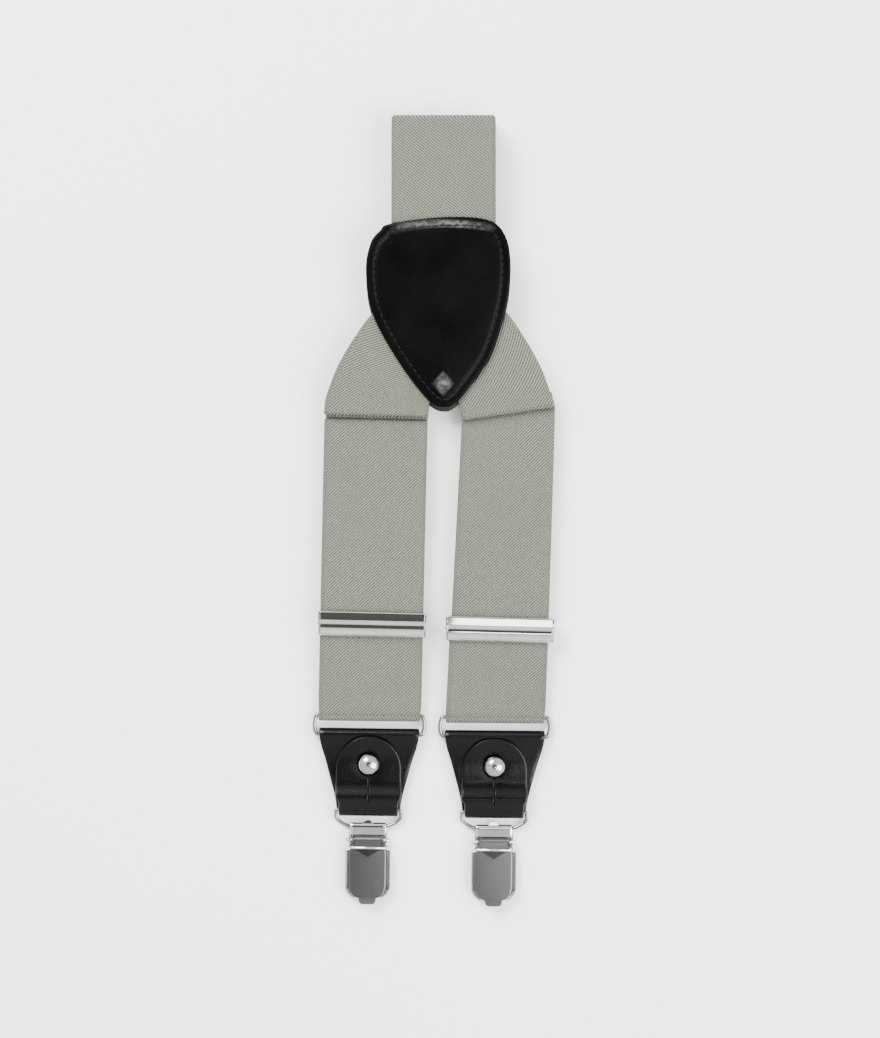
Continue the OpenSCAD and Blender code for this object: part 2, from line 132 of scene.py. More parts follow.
def arc(y, z, radius, start, end, steps):
    """Points (y, z) on an arc; angles in degrees from +Y towards +Z."""
    angles = [radians(lerp(start, end, k / steps)) for k in range(steps + 1)]
    return [(y + radius * cos(a), z + radius * sin(a)) for a in angles]


def line(a, b, steps):
    return [(lerp(a[0], b[0], k / steps), lerp(a[1], b[1], k / steps)) for k in range(steps + 1)]


def joined(*runs):
    """Runs of points end to end, without the repeated ones."""
    out = []
    for run in runs:
        for point in run:
            if not out or (Vector(point) - Vector(out[-1])).length > 1e-4:
                out.append(tuple(point))
    return out


# ---------------------------------------------------------------- meshes


def finish_mesh(name, bm, material, body=None):
    """Makes a smooth piece out of the mesh; it rides the body where one is given."""
    bmesh.ops.recalc_face_normals(bm, faces=bm.faces)
    mesh = bpy.data.meshes.new(name)
    bm.to_mesh(mesh)
    bm.free()
    for polygon in mesh.polygons:
        polygon.use_smooth = True
    mesh.materials.append(material)
    piece = bpy.data.objects.new(name, mesh)
    bpy.context.scene.collection.objects.link(piece)
    if body:
        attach(piece, body)
    return piece


def sharpen(piece, degrees=35):
    """Keeps edges above the angle crisp in the shading."""
    bm = bmesh.new()
    bm.from_mesh(piece.data)
    for edge in bm.edges:
        edge.smooth = len(edge.link_faces) < 2 or edge.calc_face_angle(0) < radians(degrees)
    bm.to_mesh(piece.data)
    bm.free()


def bevel(piece, width, segments=3, degrees=30):
    """Rounds the edges above the angle; the width is in mm."""
    modifier = piece.modifiers.new("edge", "BEVEL")
    modifier.width = width * MM
    modifier.segments = segments
    modifier.limit_method = "ANGLE"
    modifier.angle_limit = radians(degrees)
    return piece


def section(thick, edge, columns):
    """Points round a strip's section: (share of width, mm from that edge, height)."""
    half = thick / 2
    shares = [k / columns for k in range(columns + 1)]
    turn = [(-1 + 2 * k / 6) * pi / 2 for k in range(1, 6)]
    loop = [(t, edge * (1 - 2 * t), half) for t in shares]
    loop += [(1, -edge * (1 - cos(a)), -sin(a) * half) for a in turn]
    loop += [(t, edge * (1 - 2 * t), -half) for t in reversed(shares)]
    loop += [(0, edge * (1 - cos(a)), sin(a) * half) for a in turn]
    return loop


def ribbon(name, rows, thick, edge, material, columns=20, bump=None):
    """A strip of webbing or leather through rows of (left, right) points, in mm.

    bump gives the lift at a distance across from the middle and along the strip.
    """
    rows = [(Vector(a), Vector(b)) for a, b in rows]
    loop = section(thick, edge, columns)
    bm = bmesh.new()
    uv = bm.loops.layers.uv.new("UVMap")
    middle = [(a + b) / 2 for a, b in rows]
    rings, lengths, travelled = [], [], 0.0
    for i, (a, b) in enumerate(rows):
        if i:
            travelled += (middle[i] - middle[i - 1]).length
        ahead, behind = middle[min(i + 1, len(rows) - 1)], middle[max(i - 1, 0)]
        across = (b - a).normalized()
        normal = (ahead - behind).normalized().cross(across).normalized()
        width = (b - a).length
        ring = []
        for share, inset, height in loop:
            s = share * width + inset
            lift = bump(s - width / 2, travelled) if bump else 0
            ring.append(bm.verts.new((a + across * s + normal * (height + lift)) * MM))
        rings.append((ring, [share * width + inset for share, inset, _ in loop]))
        lengths.append(travelled)
    count = len(loop)
    for i in range(len(rings) - 1):
        for j in range(count):
            k = (j + 1) % count
            corners = [(i, j), (i, k), (i + 1, k), (i + 1, j)]
            face = bm.faces.new([rings[r][0][c] for r, c in corners])
            for corner, (r, c) in zip(face.loops, corners):
                corner[uv].uv = (rings[r][1][c], lengths[r])
    for ring, _ in (rings[0], rings[-1]):
        bm.faces.new(ring)
    return finish_mesh(name, bm, material)


def rows_of(points, half, place=WORLD, shift=None):
    """Rows of a strip whose middle line is (y, z) points.

    half is a number or a function of y, and shift is a function of y.
    """
    out = []
    for y, z in points:
        h = half(y) if callable(half) else half
        x = shift(y) if shift else 0
        out.append((place @ Vector((x - h, y, z)), place @ Vector((x + h, y, z))))
    return out


def tube(bm, path, radius, place, closed=True, sides=20):
    """A wire of round section along points in mm."""
    path = [Vector(p) for p in path]
    n = len(path)
    rings = []
    for i, point in enumerate(path):
        if closed:
            before, after = path[i - 1], path[(i + 1) % n]
        else:
            before, after = path[max(i - 1, 0)], path[min(i + 1, n - 1)]
        along = (after - before).normalized()
        up = Vector((0, 0, 1))
        side = along.cross(up).normalized()
        up = side.cross(along)
        turn = [2 * pi * k / sides for k in range(sides)]
        rings.append([bm.verts.new((place @ (point + (side * cos(a) + up * sin(a)) * radius)) * MM)
                      for a in turn])
    for i in range(n if closed else n - 1):
        one, two = rings[i], rings[(i + 1) % n]
        for k in range(sides):
            bm.faces.new([one[k], one[(k + 1) % sides], two[(k + 1) % sides], two[k]])
    if not closed:
        bm.faces.new(rings[0])
        bm.faces.new(rings[-1])


def rounded_path(corners, radii, steps=8):
    """A closed line through the corners, each rounded by its radius."""
    out = []
    n = len(corners)
    for i, corner in enumerate(corners):
        here = Vector(corner)
        a = Vector(corners[i - 1]) - here
        b = Vector(corners[(i + 1) % n]) - here
        reach = min(radii[i], a.length * 0.48, b.length * 0.48)
        start, end = here + a.normalized() * reach, here + b.normalized() * reach
        for k in range(steps + 1):
            t = k / steps
            out.append(start * (1 - t) ** 2 + here * 2 * t * (1 - t) + end * t * t)
    return out


def prism(bm, outline, low, high, place, axis="z"):
    """A plate: the outline extruded from low to high along the axis, in mm."""
    def at(u, v, w):
        point = Vector((u, v, w)) if axis == "z" else Vector((w, u, v))
        return bm.verts.new((place @ point) * MM)
    bottom = [at(u, v, low) for u, v in outline]
    top = [at(u, v, high) for u, v in outline]
    n = len(outline)
    bm.faces.new(bottom)
    bm.faces.new(top)
    for i in range(n):
        bm.faces.new([bottom[i], bottom[(i + 1) % n], top[(i + 1) % n], top[i]])


def rod(bm, low, high, y, z, radius, place, dome=0.0):
    """A round bar along X with softly domed ends."""
    profile = [(low - dome, 0.0), (low - dome * 0.6, radius * 0.6), (low, radius * 0.92),
               (low + 0.08 * radius, radius), (high - 0.08 * radius, radius),
               (high, radius * 0.92), (high + dome * 0.6, radius * 0.6), (high + dome, 0.0)]
    spin(bm, profile, place @ Matrix.Translation((0, y, z)) @ Matrix.Rotation(pi / 2, 4, "Y"), 32)


def spin(bm, profile, place, sides=48):
    """A turned shape about local Z: the profile is (height, radius)."""
    rings = []
    for height, radius in profile:
        if radius < 1e-6:
            rings.append([bm.verts.new((place @ Vector((0, 0, height))) * MM)])
            continue
        turn = [2 * pi * k / sides for k in range(sides)]
        rings.append([bm.verts.new((place @ Vector((radius * cos(a), radius * sin(a), height))) * MM)
                      for a in turn])
    for one, two in zip(rings, rings[1:]):
        for k in range(sides):
            j = (k + 1) % sides
            corners = [one[k % len(one)], one[j % len(one)], two[j % len(two)], two[k % len(two)]]
            unique = list(dict.fromkeys(corners))
            if len(unique) > 2:
                bm.faces.new(unique)


def mirrored(half):
    """A half outline and its mirror image across X = 0."""
    return half + [(-x, y) for x, y in reversed(half) if abs(x) > 1e-6]


# ---------------------------------------------------------------- materials


class Nodes:
    """Short calls that add shader nodes to one material."""

    def __init__(self, name, roughness, metallic=0.0):
        self.material = bpy.data.materials.new(name)
        self.material.use_nodes = True
        self.tree = self.material.node_tree
        self.shader = self.tree.nodes["Principled BSDF"]
        self.shader.inputs["Roughness"].default_value = roughness
        self.shader.inputs["Metallic"].default_value = metallic

    def put(self, socket, value):
        if isinstance(value, (int, float, tuple)):
            socket.default_value = value
        else:
            self.tree.links.new(value, socket)

    def math(self, kind, a, b=0.0):
        node = self.tree.nodes.new("ShaderNodeMath")
        node.operation = kind
        self.put(node.inputs[0], a)
        self.put(node.inputs[1], b)
        return node.outputs[0]

    def mix(self, share, a, b):
        node = self.tree.nodes.new("ShaderNodeMix")
        node.data_type = "RGBA"
        self.put(node.inputs["Factor"], share)
        self.put(node.inputs[6], a)
        self.put(node.inputs[7], b)
        return node.outputs[2]

    def scale(self, value, low, high, to_low=0.0, to_high=1.0):
        node = self.tree.nodes.new("ShaderNodeMapRange")
        for socket, number in zip(node.inputs[1:5], (low, high, to_low, to_high)):
            socket.default_value = number
        self.put(node.inputs[0], value)
        return node.outputs[0]

    def coordinates(self, kind):
        node = self.tree.nodes.new("ShaderNodeTexCoord")
        split = self.tree.nodes.new("ShaderNodeSeparateXYZ")
        self.tree.links.new(node.outputs[kind], split.inputs[0])
        return node.outputs[kind], split.outputs

    def noise(self, vector, scale, detail=3.0):
        node = self.tree.nodes.new("ShaderNodeTexNoise")
        node.inputs["Scale"].default_value = scale
        node.inputs["Detail"].default_value = detail
        self.tree.links.new(vector, node.inputs["Vector"])
        return node.outputs[0]

    def cells(self, vector, scale):
        node = self.tree.nodes.new("ShaderNodeTexVoronoi")
        node.inputs["Scale"].default_value = scale
        node.feature = "SMOOTH_F1"
        self.tree.links.new(vector, node.inputs["Vector"])
        return node.outputs["Distance"]

    def times(self, a, b):
        return self.math("MULTIPLY", a, b)

    def plus(self, a, b):
        return self.math("ADD", a, b)

    def minus(self, a, b):
        return self.math("SUBTRACT", a, b)

    def half_waves(self, value, factor):
        """Rounded ridges: the size of the sine of value times factor."""
        return self.math("ABSOLUTE", self.math("SINE", self.times(value, factor)))

    def bump(self, height, distance, strength):
        node = self.tree.nodes.new("ShaderNodeBump")
        node.inputs["Distance"].default_value = distance
        node.inputs["Strength"].default_value = strength
        self.put(node.inputs["Height"], height)
        return node.outputs[0]

    def colour(self, value):
        self.put(self.shader.inputs["Base Color"], value)

    def normal(self, value):
        self.tree.links.new(value, self.shader.inputs["Normal"])

    def roughness(self, value):
        self.put(self.shader.inputs["Roughness"], value)


def grey(value):
    return (value, value, value, 1)


def shade(colour, factor):
    """The colour made darker or lighter, for a socket."""
    return tuple(min(1, part * factor) for part in colour) + (1,)


def webbing(name, degrees, width):
    """Elastic webbing: raised twill lines made of small stitches, with plainer edges and painted shade in
    the grooves.
    """
    twill_pitch, stitch_pitch, pick_pitch = 0.84, 0.95, 0.8
    n = Nodes(name, 0.82)
    _, uv = n.coordinates("UV")
    x, y = uv[0], uv[1]
    c, s = cos(radians(degrees)), sin(radians(degrees))
    wave = n.math("DIVIDE", n.minus(n.times(y, c), n.times(x, s)), twill_pitch)
    along = n.math("DIVIDE", n.plus(n.times(x, c), n.times(y, s)), stitch_pitch)
    stagger = n.times(n.math("FLOOR", wave), 0.45)
    bead = n.half_waves(n.plus(along, stagger), pi)
    ridge = n.math("POWER", n.half_waves(wave, pi), 0.7)
    twill = n.times(ridge, n.plus(n.times(bead, 0.4), 0.6))
    plain = n.scale(n.math("MINIMUM", x, n.minus(width, x)), 1.5, 0.9)
    picks = n.times(n.half_waves(y, pi / pick_pitch), 0.5)
    height = n.plus(n.times(twill, n.minus(1.0, plain)), n.times(picks, plain))
    place, _ = n.coordinates("Object")
    fuzz = n.noise(place, 2600.0, 2.0)
    cloud = n.noise(place, 90.0, 3.0)
    # painted shade: the colour follows the weave's height, near black in the grooves and grey on the
    # raised lines
    tone = n.mix(n.scale(height, 0.28, 0.92), (0.003, 0.003, 0.0022, 1), (0.150, 0.148, 0.117, 1))
    tone = n.mix(n.times(n.scale(fuzz, 0.45, 0.75), 0.45), tone, (0.20, 0.197, 0.160, 1))
    tone = n.mix(n.times(n.scale(cloud, 0.35, 0.7), 0.12), tone, (0.045, 0.044, 0.035, 1))
    n.colour(n.mix(n.times(plain, 0.45), tone, (0.115, 0.113, 0.09, 1)))
    n.normal(n.bump(n.plus(height, n.times(fuzz, 0.3)), 0.0003, 1.0))
    n.shader.inputs["Sheen Weight"].default_value = 0.15
    n.shader.inputs["Sheen Roughness"].default_value = 0.5
    return n.material


def leather(name, colour, roughness, grain, depth, shine, sheen_and_wear=None):
    """Black leather with a fine grain; the optional function paints highlights, with rubbed wear, into the
    colour.
    """
    n = Nodes(name, roughness)
    place, parts = n.coordinates("Object")
    pebble = n.cells(place, grain)
    fine = n.noise(place, grain * 2.2, 4.0)
    blotch = n.noise(place, 60.0, 3.0)
    tone = n.mix(n.scale(blotch, 0.3, 0.7), shade(colour, 0.6), shade(colour, 1.5))
    # painted highlight and rubbed wear: a lighter grey mixed into the leather's colour
    if sheen_and_wear:
        tone = n.mix(sheen_and_wear(n, place, parts), tone, (0.075, 0.075, 0.073, 1))
    n.colour(tone)
    n.roughness(n.scale(n.plus(fine, n.times(blotch, 0.6)), 0.5, 1.1, roughness * 0.75, roughness * 1.3))
    n.normal(n.bump(n.plus(pebble, n.times(fine, 0.5)), depth, 0.7))
    n.shader.inputs["Specular IOR Level"].default_value = shine
    return n.material


def metal(name, colour, roughness, scratch=0.000002, cloudy=0.86, dark_reflection=None):
    """Polished plate with faint handling marks; the optional function paints a darker shape into the
    colour, a painted dark reflection.
    """
    n = Nodes(name, roughness, 1.0)
    place, _ = n.coordinates("Object")
    haze = n.noise(place, 240.0, 4.0)
    marks = n.noise(place, 1800.0, 2.0)
    tone = n.mix(n.scale(haze, 0.35, 0.7), shade(colour, cloudy), shade(colour, 1))
    # painted dark reflection: a darker grey mixed in where the function says
    if dark_reflection:
        tone = n.mix(dark_reflection(n), tone, grey(0.045))
    n.colour(tone)
    spread = 1 - cloudy
    n.roughness(n.scale(haze, 0.3, 0.75, roughness * (1 - 1.2 * spread), roughness * (1 + 2 * spread)))
    n.normal(n.bump(marks, scratch, 0.35))
    return n.material


def painted_v_reflection(n):
    """Painted dark reflection: a darker V on the lever's face under its roll, standing in for a pressed V;
    UV is in mm from the face's corner.
    """
    _, uv = n.coordinates("UV")
    away = n.math("ABSOLUTE", n.minus(uv[0], 6.6))
    return n.scale(n.plus(uv[1], n.times(away, 0.6)), 3.3, 2.9)


def rubber(name):
    n = Nodes(name, 0.75)
    place, _ = n.coordinates("Object")
    speck = n.noise(place, 900.0, 3.0)
    n.colour(n.mix(n.scale(speck, 0.3, 0.7), grey(0.012), grey(0.035)))
    n.normal(n.bump(speck, 0.00006, 0.6))
    return n.material


def yarn(name):
    n = Nodes(name, 0.55)
    place, _ = n.coordinates("Object")
    twist = n.noise(place, 3000.0, 2.0)
    n.colour(n.mix(twist, grey(0.002), grey(0.012)))
    n.normal(n.bump(twist, 0.00008, 0.8))
    n.shader.inputs["Specular IOR Level"].default_value = 0.1
    return n.material


def rubbed_edge_sheen(n, place, parts):
    """Painted highlight, broken by scuffs of wear, along the patch's top border and on the raised spot
    near its tip.
    """
    border_y, border_curve = 104.6 * MM, 5.0
    scuff = n.scale(n.noise(place, 700.0, 5.0), 0.38, 0.66)
    across = n.minus(parts[0], SPOT_X * MM)
    beside = n.math("ABSOLUTE", across)
    border = n.minus(border_y, n.times(n.times(across, across), border_curve))
    from_border = n.math("ABSOLUTE", n.minus(parts[1], border))
    band = n.times(n.scale(from_border, 0.0017, 0.0002), n.scale(beside, 0.0195, 0.008))
    from_spot = n.plus(beside, n.times(n.math("ABSOLUTE", n.minus(parts[1], SPOT_Y * MM)), 0.9))
    spot = n.times(n.scale(from_spot, 0.0046, 0.0004), 1.2)
    share = n.times(n.math("MAXIMUM", band, spot), n.plus(0.35, scuff))
    return n.math("MINIMUM", share, 1.0)


WEB = {"left_run": webbing("web_left", -42, 38.0), "right_run": webbing("web_right", -42, 36.0),
       "left_top": webbing("web_left_top", -42, 38.0), "right_top": webbing("web_right_top", -42, 36.0),
       "back": webbing("web_back", -38, 37.8), "ends": webbing("web_ends", 42, 37.0)}
PATCH = leather("patch_leather", (0.0008, 0.0008, 0.0008), 0.34, 1500.0, 0.00002, 0.05, rubbed_edge_sheen)
BACKING = leather("backing_leather", (0.004, 0.004, 0.004), 0.6, 1200.0, 0.00006, 0.3)
TAB = leather("tab_leather", (0.0005, 0.0006, 0.0006), 0.21, 1300.0, 0.00005, 0.2)
# One chrome at four brightnesses: the darker plate, stud and wire copies are painted dark reflection,
# standing in for the dim room that the chrome mirrors.
CHROME = metal("chrome_bright", (0.66, 0.66, 0.65), 0.035)
PLATE = metal("chrome_plate", (0.125, 0.125, 0.123), 0.26, cloudy=0.98, dark_reflection=painted_v_reflection)
STUD = metal("chrome_stud", (0.40, 0.40, 0.39), 0.10)
WIRE = metal("chrome_wire", (0.24, 0.235, 0.22), 0.10, scratch=0.00002)
RUBBER = rubber("pad_rubber")
THREAD = yarn("waxed_thread")

# ---------------------------------------------------------------- webbing
WEB_T = 1.3
WEB_EDGE = 0.5
# Radius of the webbing's middle line round a ring's bar.
LOOP_R = 1.5
# Ends of the folded pack under each run, and of the run.
STACK_LOW, STACK_HIGH = -29.675, 35.0
RUN_HIGH, RUN_LOW = 30.4, -72.2
# X of each run's left and right edge, at RUN_HIGH and at RUN_LOW.
RUN_EDGES = {"left": ((-40.2, -42.4), (-2.2, -4.5)), "right": ((9.8, 4.4), (44.2, 40.9))}
# Turn in degrees, half width and place of the pack and of the fold line above it.
STACK_YAW = {"left": -1.25, "right": -2.43}
STACK_HALF = {"left": 18.4, "right": 16.5}
FOLD_AT = {"left": (-20.9, 36.93), "right": (26.9, 37.61)}
FOLD_YAW = {"left": -1.35, "right": 8.25}
FOLD_HALF = {"left": 18.9, "right": 16.9}
# The slope that the layers under the patch lie on, from the fold lines to the crown.
LAP_Y, LAP_Z, CROWN_Y, CROWN_Z = 36.0, 9.05, 107.0, 13.15
# Each shoulder's outer and inner edge, from the fold line to under the patch.
OUTER = {"left": [(-40.0, 36.2), (-39.6, 40.5), (-38.3, 45.2), (-34.9, 53.6), (-29.8, 62.4),
                  (-23.3, 71.4), (-16.0, 78.5)],
         "right": [(43.9, 39.9), (42.4, 43.5), (41.2, 47.2), (38.6, 53.6), (33.9, 62.0),
                   (27.0, 72.2), (19.5, 79.5)]}
INNER = {"left": [(-1.9, 35.3), (-1.9, 38.0), (-1.4, 41.0), (0.4, 45.0), (2.4, 49.0),
                  (3.1, 54.0), (3.1, 59.3)],
         "right": [(10.2, 34.9), (9.8, 37.4), (8.6, 41.0), (6.8, 44.6), (4.6, 49.0),
                   (3.7, 54.0), (3.7, 60.5)]}


def edge_x(side, which, y):
    """X of a run's left (0) or right (1) edge at a height y."""
    high, low = RUN_EDGES[side][which]
    return lerp(high, low, (RUN_HIGH - y) / (RUN_HIGH - RUN_LOW))


def lap(y):
    """Height of the layers under the patch, which rise towards the back strap."""
    return LAP_Z + (CROWN_Z - LAP_Z) / (CROWN_Y - LAP_Y) * (min(y, CROWN_Y) - LAP_Y)


def turned(x, y, degrees):
    """A frame at (x, y), turned about Z."""
    return Matrix.Translation((x, y, 0)) @ Matrix.Rotation(radians(degrees), 4, "Z")


def shoulder_rows(side):
    """Patch to fold line, round the fold, then down, up and down again to the top of the run."""
    outer, inner = spline(OUTER[side], 6), spline(INNER[side], 6)
    pairs = list(zip(outer, inner)) if side == "left" else list(zip(inner, outer))
    rows = [(Vector((a.x, a.y, lap(a.y))), Vector((b.x, b.y, lap(b.y)))) for a, b in reversed(pairs)]
    fold = turned(*FOLD_AT[side], FOLD_YAW[side])
    over = joined(arc(0, 8.325, 0.725, 90, 270, 8), arc(0.4, 4.125, 3.475, 90, -90, 16))
    rows += rows_of(over, FOLD_HALF[side], fold)[1:]
    middle = (edge_x(side, 0, 0) + edge_x(side, 1, 0)) / 2
    stack = turned(middle, 0, STACK_YAW[side])
    passes = joined(line((31, 0.65), (STACK_LOW, 0.65), 20),
                    arc(STACK_LOW, 1.325, 0.675, 270, 90, 8),
                    line((STACK_LOW, 2.0), (STACK_HIGH, 2.0), 20),
                    arc(STACK_HIGH, 2.7, 0.7, -90, 90, 8),
                    line((STACK_HIGH, 3.4), (STACK_LOW, 3.4), 20),
                    arc(STACK_LOW, 4.075, 0.675, 270, 90, 8),
                    line((STACK_LOW, 4.75), (STACK_HIGH, 4.75), 20),
                    arc(STACK_HIGH, 5.45, 0.7, -90, 90, 8))
    return rows + [follow_fold(side, row) for row in rows_of(passes, STACK_HALF[side], stack)]


def follow_fold(side, row):
    """Lets the top of the folded pack run parallel to the fold line above it."""
    starts_at, length = 15, 20
    skew = tan(radians(FOLD_YAW[side] - STACK_YAW[side]))
    a, b = row
    share = min(max((a.y - starts_at) / length, 0), 1)
    share = share * share * (3 - 2 * share)
    return a, b + Vector((0, skew * share * (b.x - a.x), 0))


def run_height(distance):
    """Height of the run at a distance up from its foot."""
    return RING_Z + LOOP_R + RUN_RISE / RUN_RISE_LENGTH * min(distance, RUN_RISE_LENGTH)


def shoulders(side):
    piece = ribbon(f"{side}_shoulder_webbing", shoulder_rows(side), WEB_T, WEB_EDGE,
                   WEB[f"{side}_top"], 24)
    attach(piece, "straps")
    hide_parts(f"{side}_shoulder_strap")


def run(side):
    """The long visible stretch; its top stays put and its foot is built to meet the ring where it lies."""
    place = PLACE[side]
    foot = place @ Vector((0, 0, 0))
    top = STACK_HIGH - 0.5
    foot_reach, fold_reach, steps = 4, 22, 60
    rows = []
    for k in range(steps + 1):
        y = lerp(top, foot.y, k / steps)
        narrow = 0.15 + 0.35 * max(0.0, 1 - (y - foot.y) / foot_reach)
        left, right = edge_x(side, 0, y) + narrow, edge_x(side, 1, y) - narrow
        low_skew = place[1][0] / place[0][0] * (top - y) / (top - foot.y)
        high_skew = tan(radians(FOLD_YAW[side])) * max(0.0, 1 - (top - y) / fold_reach) ** 2
        ends = []
        for x in (left, right):
            at = y + low_skew * (x - foot.x) + high_skew * (x - left)
            ends.append(Vector((x, at, run_height(y - foot.y))))
        rows.append(ends)
    piece = ribbon(f"{side}_run_webbing", rows, WEB_T, WEB_EDGE, WEB[f"{side}_run"], 28)
    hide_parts(f"{side}_strap_run")
    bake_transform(piece)


def ring_loop(side):
    """Round the ring's top bar, back under the run and round the adjuster's bar."""
    place = PLACE[side]
    bar = place.inverted() @ (ADJUSTER[side] @ Vector((0, BAR_Y, BAR_Z)))
    lean = bar.x / bar.y

    def shift(y):
        return lean * max(y, 0.0)

    half = 18.6 if side == "left" else 18.0
    bend = arc(0, RING_Z, LOOP_R, 90, 270, 14)
    piece = ribbon(f"{side}_ring_bend_webbing", rows_of(bend, half, place), WEB_T, WEB_EDGE,
                   WEB["ends"], 24)
    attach(piece, f"{side}_carriage")
    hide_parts(f"{side}_strap_bend")
    tail = bar.y - 10
    radius = 1.35
    path = joined(line((0, RING_Z - LOOP_R), (bar.y, bar.z - radius), 24),
                  arc(bar.y, bar.z, radius, -90, 90, 14),
                  line((bar.y, bar.z + radius), (bar.y - 6, 2.36), 6),
                  line((bar.y - 6, 2.36), (tail, 2.32), 3))
    piece = ribbon(f"{side}_return_webbing", rows_of(path, 18.1, place, shift), WEB_T, WEB_EDGE,
                   WEB["ends"], 20)
    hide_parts(f"{side}_strap_return")
    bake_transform(piece)


def back():
    """The back strap: out of the patch, folded up in passes, then round the rear ring."""
    x, y, z = PLACE["rear"] @ Vector((0, 0, RING_Z))
    top, low = 142.85, 108.7
    slope = [(at, lap(at)) for at in (82, 88, 94, 100, 105, 106.5, 107.5, 109)]
    path = joined(slope, line((110, CROWN_Z), (top, CROWN_Z), 12), arc(top, 12.45, 0.7, 90, -90, 10),
                  line((top, 11.75), (low, 11.75), 12), arc(low, 11.075, 0.675, 90, 270, 8),
                  line((low, 10.4), (141.8, 10.4), 12), arc(141.8, 9.725, 0.675, 90, -90, 8),
                  line((141.8, 9.05), (low, 9.05), 12), arc(low, 8.375, 0.675, 90, 270, 8),
                  line((low, 7.7), (139.8, 7.7), 12), arc(139.8, 4.175, 3.525, 90, -90, 16),
                  line((139.8, 0.65), (low, 0.65), 12), arc(low, 1.325, 0.675, 270, 90, 8),
                  line((low, 2.0), (138, 2.0), 12), arc(138, 3.225, 1.225, -90, 90, 10),
                  line((138, 4.45), (y, 4.45), 12), arc(y, z, LOOP_R, 270, 90, 14),
                  line((y, 7.45), (106.5, 5.8), 4), line((106.5, 5.8), (113, 5.8), 4))
    inner_from, inner_half, half = 96, 18.4, 18.9
    rows = []
    for k, (at, up) in enumerate(path):
        rounded = 0.35 * max(0, at - 142.4) ** 2
        h = inner_half if k >= inner_from else half - rounded
        rows.append((Vector((x - h, at, up)), Vector((x + h, at, up))))
    piece = ribbon("back_webbing", rows, WEB_T, WEB_EDGE, WEB["back"], 28)
    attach(piece, "straps")
    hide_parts("back_strap")


# ---------------------------------------------------------------- patch
PATCH_POINTS = [(-15.6, 104.6), (3.2, 106.9), (19.2, 106.0), (25.6, 100.6), (27.7, 90.4),
                (26.5, 75.8), (21.0, 57.7), (12.5, 45.0), (8.3, 40.4), (3.8, 38.4),
                (-2.3, 41.3), (-12.9, 55.1), (-22.4, 72.6), (-24.6, 87.8), (-22.9, 97.6),
                (-19.6, 102.0)]
LEATHER_T = 1.5
LEATHER_EDGE = 0.5
BACKING_T = 1.2
PATCH_GAP = 0.1
PATCH_LOW = WEB_T / 2 + PATCH_GAP
GROOVE = 3.0
CORE, CORE_REACH = 5.0, 20.0


def inset(outline, distance):
    """The closed outline moved inwards; it runs clockwise."""
    n = len(outline)
    out = []
    for i, point in enumerate(outline):
        along = (outline[(i + 1) % n] - outline[i - 1]).normalized()
        out.append(point + Vector((along.y, -along.x)) * distance)
    return out


def patch_rings(outline, levels):
    """Rings of points for levels of (inset, height above the layer under the patch).

    Rings inset by more than CORE shrink towards the middle.
    """
    core = inset(outline, CORE)
    middle = sum(core, Vector((0, 0))) / len(core)
    rings = []
    for depth, height in levels:
        if depth <= CORE:
            flat = inset(outline, depth)
        else:
            share = (depth - CORE) / CORE_REACH
            flat = [lerp(p, middle, share) for p in core]
        rings.append([(p.x, p.y, height) for p in flat])
    return rings, middle


def skin(name, rings, middle, middle_height, material, bulge=None):
    """A leather sheet through rings of points, closed at its middle and underneath."""
    bm = bmesh.new()
    made = []
    for ring in rings:
        made.append([bm.verts.new(Vector((x, y, lap(y) + h + (bulge(x, y) if bulge else 0))) * MM)
                     for x, y, h in ring])
    n = len(made[0])
    for one, two in zip(made, made[1:]):
        for i in range(n):
            bm.faces.new([one[i], one[(i + 1) % n], two[(i + 1) % n], two[i]])
    centre = bm.verts.new(Vector((middle.x, middle.y, lap(middle.y) + middle_height)) * MM)
    for i in range(n):
        bm.faces.new([made[-1][i], made[-1][(i + 1) % n], centre])
    bm.faces.new(made[0])
    return finish_mesh(name, bm, material, "straps")


def raised_spot(x, y):
    """A pressed lozenge just above the tip."""
    reach, rise = 4.2, 0.28
    away = abs(x - SPOT_X) * 0.9 + abs(y - SPOT_Y)
    return rise * max(0.0, 1 - (away / reach) ** 2)


def patch():
    outline = spline(PATCH_POINTS, 12, closed=True)
    top = PATCH_LOW + LEATHER_T
    levels = [(0.35, PATCH_LOW), (0.1, PATCH_LOW + 0.12), (0.0, PATCH_LOW + 0.45), (0.0, top - 0.55),
              (0.12, top - 0.25), (0.4, top - 0.06), (0.8, top), (1.7, top + 0.02), (2.4, top),
              (GROOVE - 0.3, top - 0.1), (GROOVE, top - 0.2), (GROOVE + 0.3, top - 0.1),
              (3.7, top + 0.03), (4.3, top + 0.08), (5.0, top + 0.13), (7.0, top + 0.26),
              (10.0, top + 0.40), (14.0, top + 0.53), (19.0, top + 0.62), (22.0, top + 0.64),
              (24.2, top + 0.65)]
    rings, middle = patch_rings(outline, levels)
    piece = skin("patch_front_leather", rings, middle, top + 0.65, PATCH, raised_spot)
    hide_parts("patch_front")
    under = [Vector((p.x, p.y - 1.4)) for p in outline]
    high = -WEB_T / 2 - PATCH_GAP
    low = high - BACKING_T
    levels = [(0.3, low), (0.05, low + 0.15), (0.0, low + 0.6), (0.05, high - 0.15), (0.3, high),
              (5.0, high), (19.0, high)]
    rings, middle = patch_rings(under, levels)
    for ring in rings:
        ring[:] = [(x, min(y, 100.0), h) for x, y, h in ring]
    piece = skin("patch_backing_leather", rings, middle, high, BACKING)
    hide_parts("patch_backing")
    stitches(outline, top)


